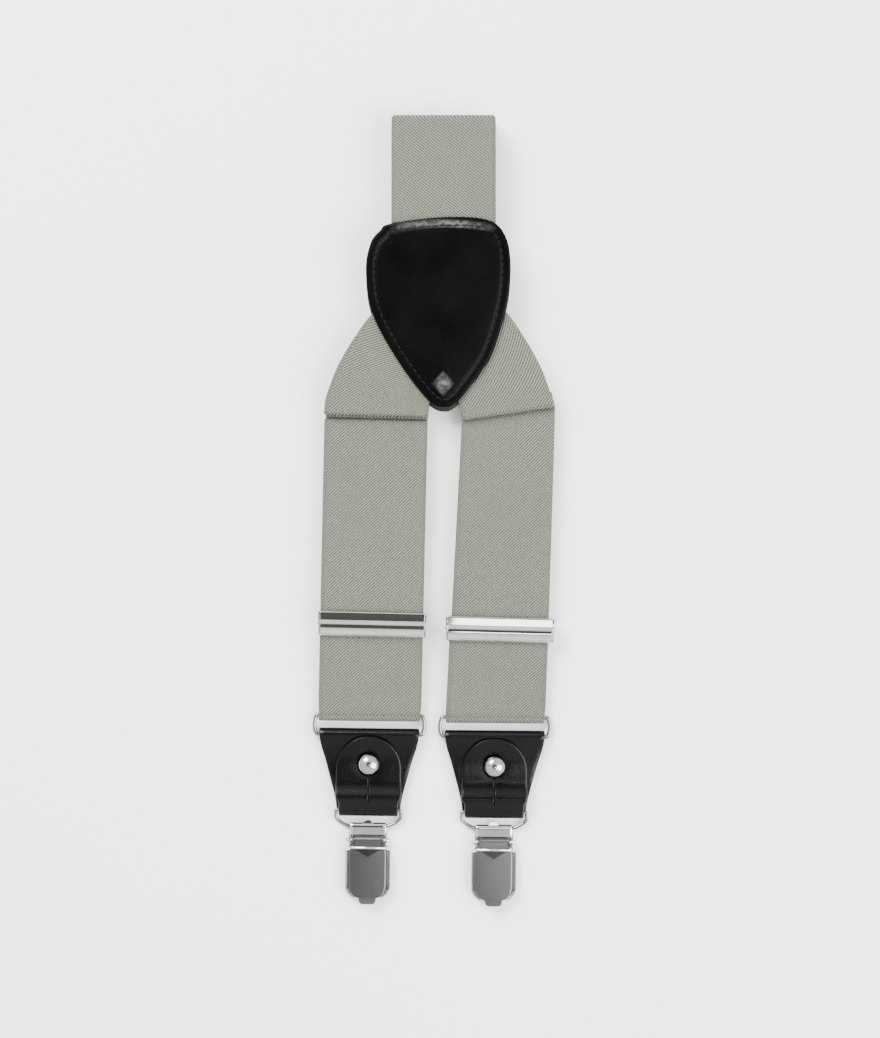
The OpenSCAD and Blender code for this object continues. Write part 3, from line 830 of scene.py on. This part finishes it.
def stitches(outline, top):
    """Thread stitches at an even pitch along the groove."""
    bm = bmesh.new()
    seam = inset(outline, GROOVE)
    n = len(seam)
    pitch, length = 2.6, 1.7
    travelled, due = 0.0, 0.0
    for i in range(n):
        a, b = seam[i], seam[(i + 1) % n]
        span = (b - a).length
        while due <= travelled + span:
            spot = a.lerp(b, (due - travelled) / span)
            along = (b - a).normalized()
            path = []
            for k in range(7):
                t = -1 + k / 3
                x, y = spot.x + along.x * t * length / 2, spot.y + along.y * t * length / 2
                path.append(Vector((x, y, lap(y) + top - 0.12 + 0.10 * (1 - t * t))))
            tube(bm, path, 0.2, WORLD, closed=False, sides=8)
            due += pitch
        travelled += span
    piece = finish_mesh("patch_stitch_thread", bm, THREAD, "straps")
    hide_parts("patch_stitching")


# ---------------------------------------------------------------- adjusters


def adjuster(side):
    """Back plate with ears and loop bar, the hinge pin, and the folded cover."""
    place = ADJUSTER[side]
    inside, sheet = 19.2, 0.5
    bm = bmesh.new()
    ear = [(-4.2, -1.4), (0.3, -1.6), (0.8, -3.9), (2.2, -3.9), (2.8, -1.6), (4.3, -1.2), (4.85, 1.2),
           (4.6, 2.6), (3.4, 2.95), (0.0, 2.55), (-3.6, 1.7), (-4.4, 0.5)]
    for low in (-inside - sheet, inside):
        prism(bm, ear, low, low + sheet, place, "x")
    prism(bm, [(-19.3, -4.2), (19.3, -4.2), (19.3, -1.0), (-19.3, -1.0)], -1.25, -0.75, place)
    rod(bm, -19.3, 19.3, BAR_Y, BAR_Z, 0.6, place)
    rod(bm, -20.1, -19.6, 0.3, 1.0, 0.5, place, dome=0.1)
    piece = finish_mesh(f"{side}_adjuster_frame_plate", bm, CHROME, f"{side}_adjuster")
    sharpen(bevel(piece, 0.12), 30)
    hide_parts(f"{side}_adjuster_frame")
    bm = bmesh.new()
    rod(bm, -19.8, 19.8, COVER_PIN_Y, COVER_PIN_Z, 0.6, place, dome=0.1)
    piece = finish_mesh(f"{side}_adjuster_hinge_pin", bm, CHROME, f"{side}_adjuster")
    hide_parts(f"{side}_adjuster_pin")
    outer = spline([(4.95, 1.7), (4.85, 2.6), (4.55, 3.02), (4.3, 3.1), (3.4, 3.1), (2.4, 3.1), (1.6, 3.1),
                    (1.3, 2.98), (1.1, 2.98), (0.8, 3.12), (-0.1, 3.34), (-1.4, 3.36), (-2.8, 3.02),
                    (-3.9, 2.3), (-4.5, 1.4), (-4.75, 0.95)], 4)
    inner = spline([(-4.1, 0.85), (-3.7, 1.6), (-2.8, 2.2), (-1.5, 2.5), (0.4, 2.35), (2.6, 2.35)], 4)
    knuckle = [(COVER_PIN_Y + 1.1 * cos(radians(a)), COVER_PIN_Z + 1.1 * sin(radians(a)))
               for a in (170, 200, 230, 260, 290, 320, 345)]
    profile = [tuple(point) for point in outer + inner] + knuckle
    bm = bmesh.new()
    prism(bm, profile, -18.95, 18.95, place, "x")
    piece = finish_mesh(f"{side}_adjuster_cover_plate", bm, CHROME, f"{side}_cover")
    sharpen(bevel(piece, 0.18, 3, 50), 40)
    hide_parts(f"{side}_adjuster_cover")


# ---------------------------------------------------------------- strap ends


def bail_y(end):
    return BAIL_Y if end != "rear" else REAR_BAIL_Y


def tab_y(end, y):
    """The rear tab is shorter: its part below the taper's start is squeezed."""
    start = -22
    if y > start:
        return y
    return start + (y - start) * (start - bail_y(end)) / (start - BAIL_Y)


def ring(end):
    """An oblong of wire whose short sides bow outwards."""
    half, drop, bow_radius, bow_out, steps = 19.3, 7, 8.06, 0.8, 8
    bow = []
    for k in range(1, steps):
        y = -drop * k / steps
        sag = bow_radius - sqrt(bow_radius ** 2 - (y + drop / 2) ** 2)
        bow.append((half + bow_out - sag, y))
    corners = [(-half, 0), (half, 0)] + bow + [(half, -drop), (-half, -drop)]
    corners += [(-x, y) for x, y in reversed(bow)]
    radii = [0.7 if abs(x) == half else 0.3 for x, _ in corners]
    path = rounded_path([(x, y, RING_Z) for x, y in corners], radii, 5)
    bm = bmesh.new()
    tube(bm, path, 0.75, PLACE[end])
    piece = finish_mesh(f"{end}_ring_wire", bm, WIRE, f"{end}_ring")
    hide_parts(f"{end}_strap_ring")


def tab(end):
    """The leather base, sewn back round the ring, with its flap and stud."""
    place = PLACE[end]
    bail = bail_y(end)
    sewn_to = -23.0 if end != "rear" else -19.5
    widths = [(-4.6, 18.4), (-8.9, 18.1), (-12.2, 17.3), (-15.5, 16.2), (-18.7, 15.3), (-22, 14.4),
              (-25.3, 13.5), (-28.5, 12.7), (-31.8, 12.0), (-34.65, 11.7)]
    widths = [(tab_y(end, y), w) for y, w in widths]

    def half(y):
        for (y0, w0), (y1, w1) in zip(widths, widths[1:]):
            if y >= y1:
                return lerp(w0, w1, min(max((y0 - y) / (y0 - y1), 0), 1))
        return widths[-1][1]

    underside = spline([(-7, 3.2), (-12, 2.2), (-18, 1.6), (sewn_to - 0.5, 1.55), (bail + 4.65, 0.3),
                        (bail, 0)], 5)
    path = joined(line((sewn_to, LEATHER_T / 2), (-7, LEATHER_T / 2), 8),
                  arc(-7, RING_Z, 1.6, -90, 90, 16),
                  [(p.x, p.y + LEATHER_T / 2) for p in underside])
    piece = ribbon(f"{end}_tab_base_leather", rows_of(path, half, place), LEATHER_T, LEATHER_EDGE,
                   TAB, 24)
    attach(piece, f"{end}_tab")
    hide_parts(f"{end}_tab_leather")
    flap(end, place, bail)
    stud(end, place)


def flap(end, place, bail):
    """Round the bail's top bar and up over the stud, slit below the button hole."""
    half_width, root_half, round_y = 12.0, 10.8, -19.4

    def half(y):
        """Narrow at the bail, then full width, then the round end."""
        if y < bail:
            return root_half
        if y < round_y:
            return lerp(root_half, half_width, min(max((y - bail - 3.2) / 1.2, 0), 1))
        return max(sqrt(max(half_width ** 2 - (y - round_y) ** 2, 0)), 0.4)

    def shape(x, travelled):
        """A swell and a hollow across the flap, and a dish round the stud."""
        swell = 0.75 * exp(-((travelled - 9.6) / 2.3) ** 2) - 0.30 * exp(-((travelled - 15.4) / 2.4) ** 2)
        dish = 0.40 * exp(-((travelled - 21.6) ** 2 + x * x) / 16)
        return dish - swell

    underside = spline([(bail, 3.0), (bail + 4.65, 3.6), (-18, 3.25), (-12, 3.9), (-7.5, 4.9)], 12)
    path = joined(arc(bail, BAIL_Z, 1.5, 270, 90, 14), [(p.x, p.y + LEATHER_T / 2) for p in underside])
    piece = ribbon(f"{end}_tab_flap_leather", rows_of(path, half, place), LEATHER_T, LEATHER_EDGE,
                   TAB, 60, bump=shape)
    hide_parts(f"{end}_tab_bend", f"{end}_tab_flap")
    hole_r, slit_half = 4.2, 0.16
    hole = [(hole_r * cos(radians(a + turn)), y + hole_r * sin(radians(a + turn)))
            for y, turn in ((STUD_Y, 180), (STUD_Y + 1.4, 0)) for a in range(0, 181, 12)]
    slit = [(-slit_half, -32.0), (slit_half, -32.0), (slit_half, -21.0), (-slit_half, -21.0)]
    cut(piece, hole, 2.0, 7.5, place)
    cut(piece, slit, 2.4, 7.5, place)
    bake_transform(piece)


def cut(piece, outline, low, high, place):
    """Takes an upright prism out of a piece."""
    bm = bmesh.new()
    prism(bm, outline, low, high, place)
    cutter = finish_mesh("cutter", bm, TAB)
    modifier = piece.modifiers.new("cut", "BOOLEAN")
    modifier.object = cutter
    modifier.solver = "EXACT"
    bpy.context.view_layer.update()
    graph = bpy.context.evaluated_depsgraph_get()
    mesh = bpy.data.meshes.new_from_object(piece.evaluated_get(graph))
    piece.modifiers.clear()
    piece.data = mesh
    bpy.data.objects.remove(cutter)


def stud(end, place):
    """The domed head, its neck through the leather, and its foot."""
    rim_z, rim_r, rise = 5.6, 3.95, 2.65
    bm = bmesh.new()
    dome = [(4.8, 0), (4.8, 3.7), (4.95, 3.95), (5.3, 4.0), (rim_z, rim_r)]
    dome += [(rim_z + rise * sin(radians(a)), rim_r * cos(radians(a))) for a in range(10, 90, 8)]
    dome += [(rim_z + rise, 0)]
    at = place @ Matrix.Translation((0, STUD_Y, 0))
    spin(bm, dome, at)
    spin(bm, [(1.3, 0), (1.3, 1.6), (4.9, 1.6), (4.9, 0)], at, 32)
    spin(bm, [(0.8, 0), (0.8, 2.2), (0.95, 2.4), (1.3, 2.4), (1.4, 2.2), (1.4, 0)], at, 32)
    piece = finish_mesh(f"{end}_tab_stud_dome", bm, STUD, f"{end}_tab")
    sharpen(piece, 40)
    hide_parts(f"{end}_tab_stud")


def clip_centre(end):
    """The bail's lower bar in the strap end's frame."""
    return PLACE[end].inverted() @ joint_point(f"{end}_clip_hinge")


def bail(end):
    """The wire loop between the tab and the clip."""
    length, half = 5.95, 11.9
    centre = clip_centre(end)
    tilt = atan2(BAIL_Z - centre.z, length)
    place = PLACE[end] @ Matrix.Translation((0, bail_y(end), BAIL_Z)) @ Matrix.Rotation(tilt, 4, "X")
    side = [(half, 0), (half, -3.2), (9.6, -5.0), (7.4, -length / cos(tilt))]
    corners = [(-half, 0)] + side + [(-x, y) for x, y in reversed(side[1:])]
    radii = [0.6, 0.6, 1.4, 1.6, 0.8, 0.8, 1.6, 1.4]
    bm = bmesh.new()
    tube(bm, rounded_path([(x, y, 0) for x, y in corners], radii, 6), 0.65, place)
    piece = finish_mesh(f"{end}_bail_wire", bm, WIRE, f"{end}_bail")
    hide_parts(f"{end}_clip_bail")


# In the clip's own frame: the hinge pin, the edge that the ribs follow, a jaw's plate and its pad.
PIN_Y, PIN_Z = -5.0, 1.3
JAW_EDGE = [(8.25, -9.2), (8.25, -22), (8.0, -23.2), (7.3, -24.5), (6.1, -25.7), (4.6, -26.5)]
JAW = mirrored([(7.2, -8.7), (7.2, -22), (6.95, -22.9), (6.35, -24.0), (5.3, -25.0), (4.0, -25.7),
                (2.6, -26.0)])
PAD = mirrored([(7.1, -12), (7.1, -22), (6.9, -22.9), (6.1, -24.0), (4.6, -25.0), (2.5, -25.5)])
RIB_PITCH, RIB_HALF, RIB_DEPTH = 0.95, 0.228, 1.3


def ribs(bm, place, low, high):
    """Small ribs along both edges of a jaw, square to its edge."""
    path = [Vector(point) for point in JAW_EDGE]
    due = 0.0
    for a, b in zip(path, path[1:]):
        span = (b - a).length
        along = (b - a) / span
        inward = Vector((along.y, -along.x)) * RIB_DEPTH
        half = along * RIB_HALF
        while due < span:
            spot = a + along * due
            quad = [spot - half, spot + half, spot + half + inward, spot - half + inward]
            for sign in (-1, 1):
                prism(bm, [(sign * point.x, point.y) for point in quad], low, high, place)
            due += RIB_PITCH
        due -= span


def clip(end):
    """The lever clip below the bail; its frame has its origin on the bail's lower bar."""
    centre = clip_centre(end)
    place = PLACE[end] @ Matrix.Translation((0, centre.y, centre.z))
    back_plate(end, place)
    bm = bmesh.new()
    rod(bm, -8.0, 8.0, PIN_Y, PIN_Z, 0.75, place, dome=0.25)
    piece = finish_mesh(f"{end}_clip_hinge_pin", bm, CHROME, f"{end}_clip")
    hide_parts(f"{end}_clip_pin")
    pad(f"{end}_clip_back_pad_grip", place, -0.75, 0.25, 1, f"{end}_clip", f"{end}_clip_back_pad")
    front_jaw(end, place)
    pad(f"{end}_clip_front_pad_grip", place, 0.65, 1.65, -1, f"{end}_jaw", f"{end}_clip_front_pad")
    lever(end, place)


def sheet_mesh(rows, thick, edge, material, columns, bump=None):
    """Mesh code's copy of a ribbon, to build on."""
    sheet = ribbon("sheet", rows, thick, edge, material, columns, bump)
    bm = bmesh.new()
    bm.from_mesh(sheet.data)
    bpy.data.objects.remove(sheet)
    return bm


def back_plate(end, place):
    """Neck rolled round the bail, two ears for the pin, and the rear jaw."""
    neck = joined(line((-9, -1.05), (0, -1.05), 6), arc(0, 0, 1.05, -90, 90, 12),
                  line((0, 1.05), (-3.1, 0.75), 6))
    bm = sheet_mesh(rows_of(neck, 6.6, place), 0.6, 0.25, CHROME, 12)
    ear = [(-7.6, -1.3), (-7.6, 1.5), (-7.0, 2.2), (-6.2, 2.4), (-3.8, 2.4), (-3.0, 2.2), (-2.4, 1.5),
           (-2.4, -1.3)]
    for low in (-7.0, 6.4):
        prism(bm, ear, low, low + 0.6, place, "x")
    prism(bm, JAW, -1.35, -0.75, place)
    ribs(bm, place, -1.35, -0.75)
    nub = [(-0.2 + 1.8 * cos(radians(a)), 1.0 + 1.35 * sin(radians(a))) for a in range(0, 181, 15)]
    prism(bm, nub, 0.3, 1.0, place)
    piece = finish_mesh(f"{end}_clip_back_plate_steel", bm, CHROME, f"{end}_clip")
    sharpen(bevel(piece, 0.1, 2), 35)
    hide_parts(f"{end}_clip_back_plate")


def front_jaw(end, place):
    """The ribbed jaw, with an arm and an eye round the pin on each side."""
    eye = [(-0.4, 0.8), (-0.4, 1.4), (-0.3, 1.5), (0.3, 1.5), (0.4, 1.4), (0.4, 0.8), (-0.4, 0.8)]
    bm = bmesh.new()
    for sign in (-1, 1):
        at = place @ Matrix.Translation((5.6 * sign, PIN_Y, PIN_Z)) @ Matrix.Rotation(pi / 2, 4, "Y")
        spin(bm, eye, at, 32)
        arm = [(5.2 * sign, -9.4), (6.0 * sign, -9.4), (6.0 * sign, -6.2), (5.2 * sign, -6.2)]
        prism(bm, arm, 1.4, 2.2, place)
    prism(bm, JAW, 1.65, 2.25, place)
    ribs(bm, place, 1.6, 2.3)
    piece = finish_mesh(f"{end}_clip_front_jaw_steel", bm, PLATE, f"{end}_jaw")
    sharpen(bevel(piece, 0.08, 2), 35)
    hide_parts(f"{end}_clip_front_jaw")


def pad(name, place, low, high, face, body, node):
    """A rubber grip with cross ribs on its gripping face."""
    bm = bmesh.new()
    prism(bm, PAD, low, high, place)
    for k in range(9):
        y = -13.2 - k * 1.3
        half = 6.6 if y > -22.5 else 5.4
        edge = high if face > 0 else low
        outline = [(y - 0.35, edge), (y, edge + 0.09 * face), (y + 0.35, edge)]
        prism(bm, outline, -half, half, place, "x")
    piece = finish_mesh(name, bm, RUBBER, body)
    sharpen(bevel(piece, 0.12, 2), 40)
    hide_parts(node)


def lever_half(y):
    """Half width of the lever's face at a distance down the clip."""
    round_y, tip_y, tip_half = -20.0, -26.0, 3.2
    if y > round_y:
        return lerp(6.55, 6.75, min((-7.9 - y) / 2, 1))
    if y > tip_y:
        t = (round_y - y) / (round_y - tip_y)
        return tip_half + 3.55 * sqrt(max(1 - t ** 2.4, 0))
    t = min((tip_y - y) / 2.3, 1)
    return tip_half - 1.1 * t ** 4


def lever(end, place):
    """Hub, bridge and flat face in one piece, and the bright roll across the face's top."""
    stops = [-7.9 - 0.35 * k for k in range(52)] + [-26.05, -26.4, -26.9, -27.4, -27.8, -28.1, -28.3]

    def shape(x, travelled):
        """Gently crowned, with a turned-down tip."""
        crown = 0.08 * (1 - (x / 6.8) ** 2) - 0.04
        return crown - 0.35 * max(0, (travelled - 17.6) / 2.8) ** 2

    bm = sheet_mesh(rows_of([(y, 2.9) for y in stops], lever_half, place), 0.7, 0.2, PLATE, 40, shape)
    rod(bm, -5.0, 5.0, PIN_Y, PIN_Z, 1.7, place)
    bridge = [(-8.3, 2.5), (-8.3, 3.05), (-7.6, 3.1), (-5.0, 3.0), (-5.0, 2.3)]
    prism(bm, bridge, -5.0, 5.0, place, "x")
    piece = finish_mesh(f"{end}_clip_lever_steel", bm, PLATE, f"{end}_lever")
    sharpen(piece, 38)
    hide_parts(f"{end}_clip_lever")
    # The roll is in the bright chrome copy and the face in the darker one: a painted highlight across the
    # face's top.
    bm = bmesh.new()
    rod(bm, -6.3, 6.3, -7.7, 2.88, 0.52, place)
    piece = finish_mesh(f"{end}_clip_lever_roll", bm, CHROME, f"{end}_lever")
    sharpen(piece, 50)
    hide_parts(f"{end}_clip_lever")


# ---------------------------------------------------------------- studio


def floor():
    """A plain pale sheet just under the object."""
    bm = bmesh.new()
    size, low = 3000.0, -0.05
    corners = [(-size, -size), (size, -size), (size, size), (-size, size)]
    bm.faces.new([bm.verts.new(Vector((x, y, low)) * MM) for x, y in corners])
    n = Nodes("studio_floor", 0.9)
    place, _ = n.coordinates("Object")
    n.colour(n.mix(n.noise(place, 3.0), grey(0.86), grey(0.90)))
    mesh = bpy.data.meshes.new("studio_floor")
    bm.to_mesh(mesh)
    bm.free()
    mesh.materials.append(n.material)
    piece = bpy.data.objects.new("studio_floor", mesh)
    bpy.context.scene.collection.objects.link(piece)


def light(name, place, target, size, power):
    """A rectangular lamp in metres and watts, turned towards its target."""
    data = bpy.data.lights.new(name, "AREA")
    data.shape = "RECTANGLE"
    data.size, data.size_y = size
    data.energy = power
    lamp = bpy.data.objects.new(name, data)
    lamp.location = place
    lamp.rotation_euler = (Vector(target) - Vector(place)).to_track_quat("-Z", "Y").to_euler()
    bpy.context.scene.collection.objects.link(lamp)


SKY = ((0.0, 0.50), (0.6, 1.0), (0.93, 0.75), (0.984, 0.07), (1.0, 0.06))


def sky():
    """Soft light from all round, dark straight above; SKY pairs each height with a grey."""
    world = bpy.data.worlds.new("studio")
    world.use_nodes = True
    tree = world.node_tree
    background = tree.nodes["Background"]
    where = tree.nodes.new("ShaderNodeTexCoord")
    split = tree.nodes.new("ShaderNodeSeparateXYZ")
    ramp = tree.nodes.new("ShaderNodeValToRGB")
    tree.links.new(where.outputs["Generated"], split.inputs[0])
    tree.links.new(split.outputs["Z"], ramp.inputs[0])
    tree.links.new(ramp.outputs[0], background.inputs["Color"])
    stops = ramp.color_ramp.elements
    stops[0].color = grey(SKY[0][1])
    stops[1].color = grey(SKY[-1][1])
    for height, value in SKY[1:-1]:
        stops.new(height).color = grey(value)
    background.inputs["Strength"].default_value = 2.1
    bpy.context.scene.world = world


def studio():
    floor()
    sky()
    light("key", (-0.55, 0.75, 0.9), (0, 0, 0), (0.7, 0.7), 44)
    light("fill", (0.7, -0.25, 0.8), (0, 0, 0), (0.7, 0.9), 24)
    light("strip", (0.115, -0.19, 1.0), (0.115, -0.19, 0), (0.21, 0.10), 0.5)


def camera():
    """Looks straight down; view_height is what the picture spans at the level of focus_z."""
    view_height, focus_z = 0.3774, 0.008
    data = bpy.data.cameras.new("camera")
    data.lens = 85
    data.sensor_fit = "VERTICAL"
    data.sensor_height = 36
    eye = bpy.data.objects.new("camera", data)
    eye.location = (0.0022, -0.0020, view_height * data.lens / data.sensor_height + focus_z)
    bpy.context.scene.collection.objects.link(eye)
    bpy.context.scene.camera = eye


studio()
camera()
patch()
back()
for one_side in SIDES:
    shoulders(one_side)
    run(one_side)
    ring_loop(one_side)
    adjuster(one_side)
for one_end in ENDS:
    ring(one_end)
    tab(one_end)
    bail(one_end)
    clip(one_end)
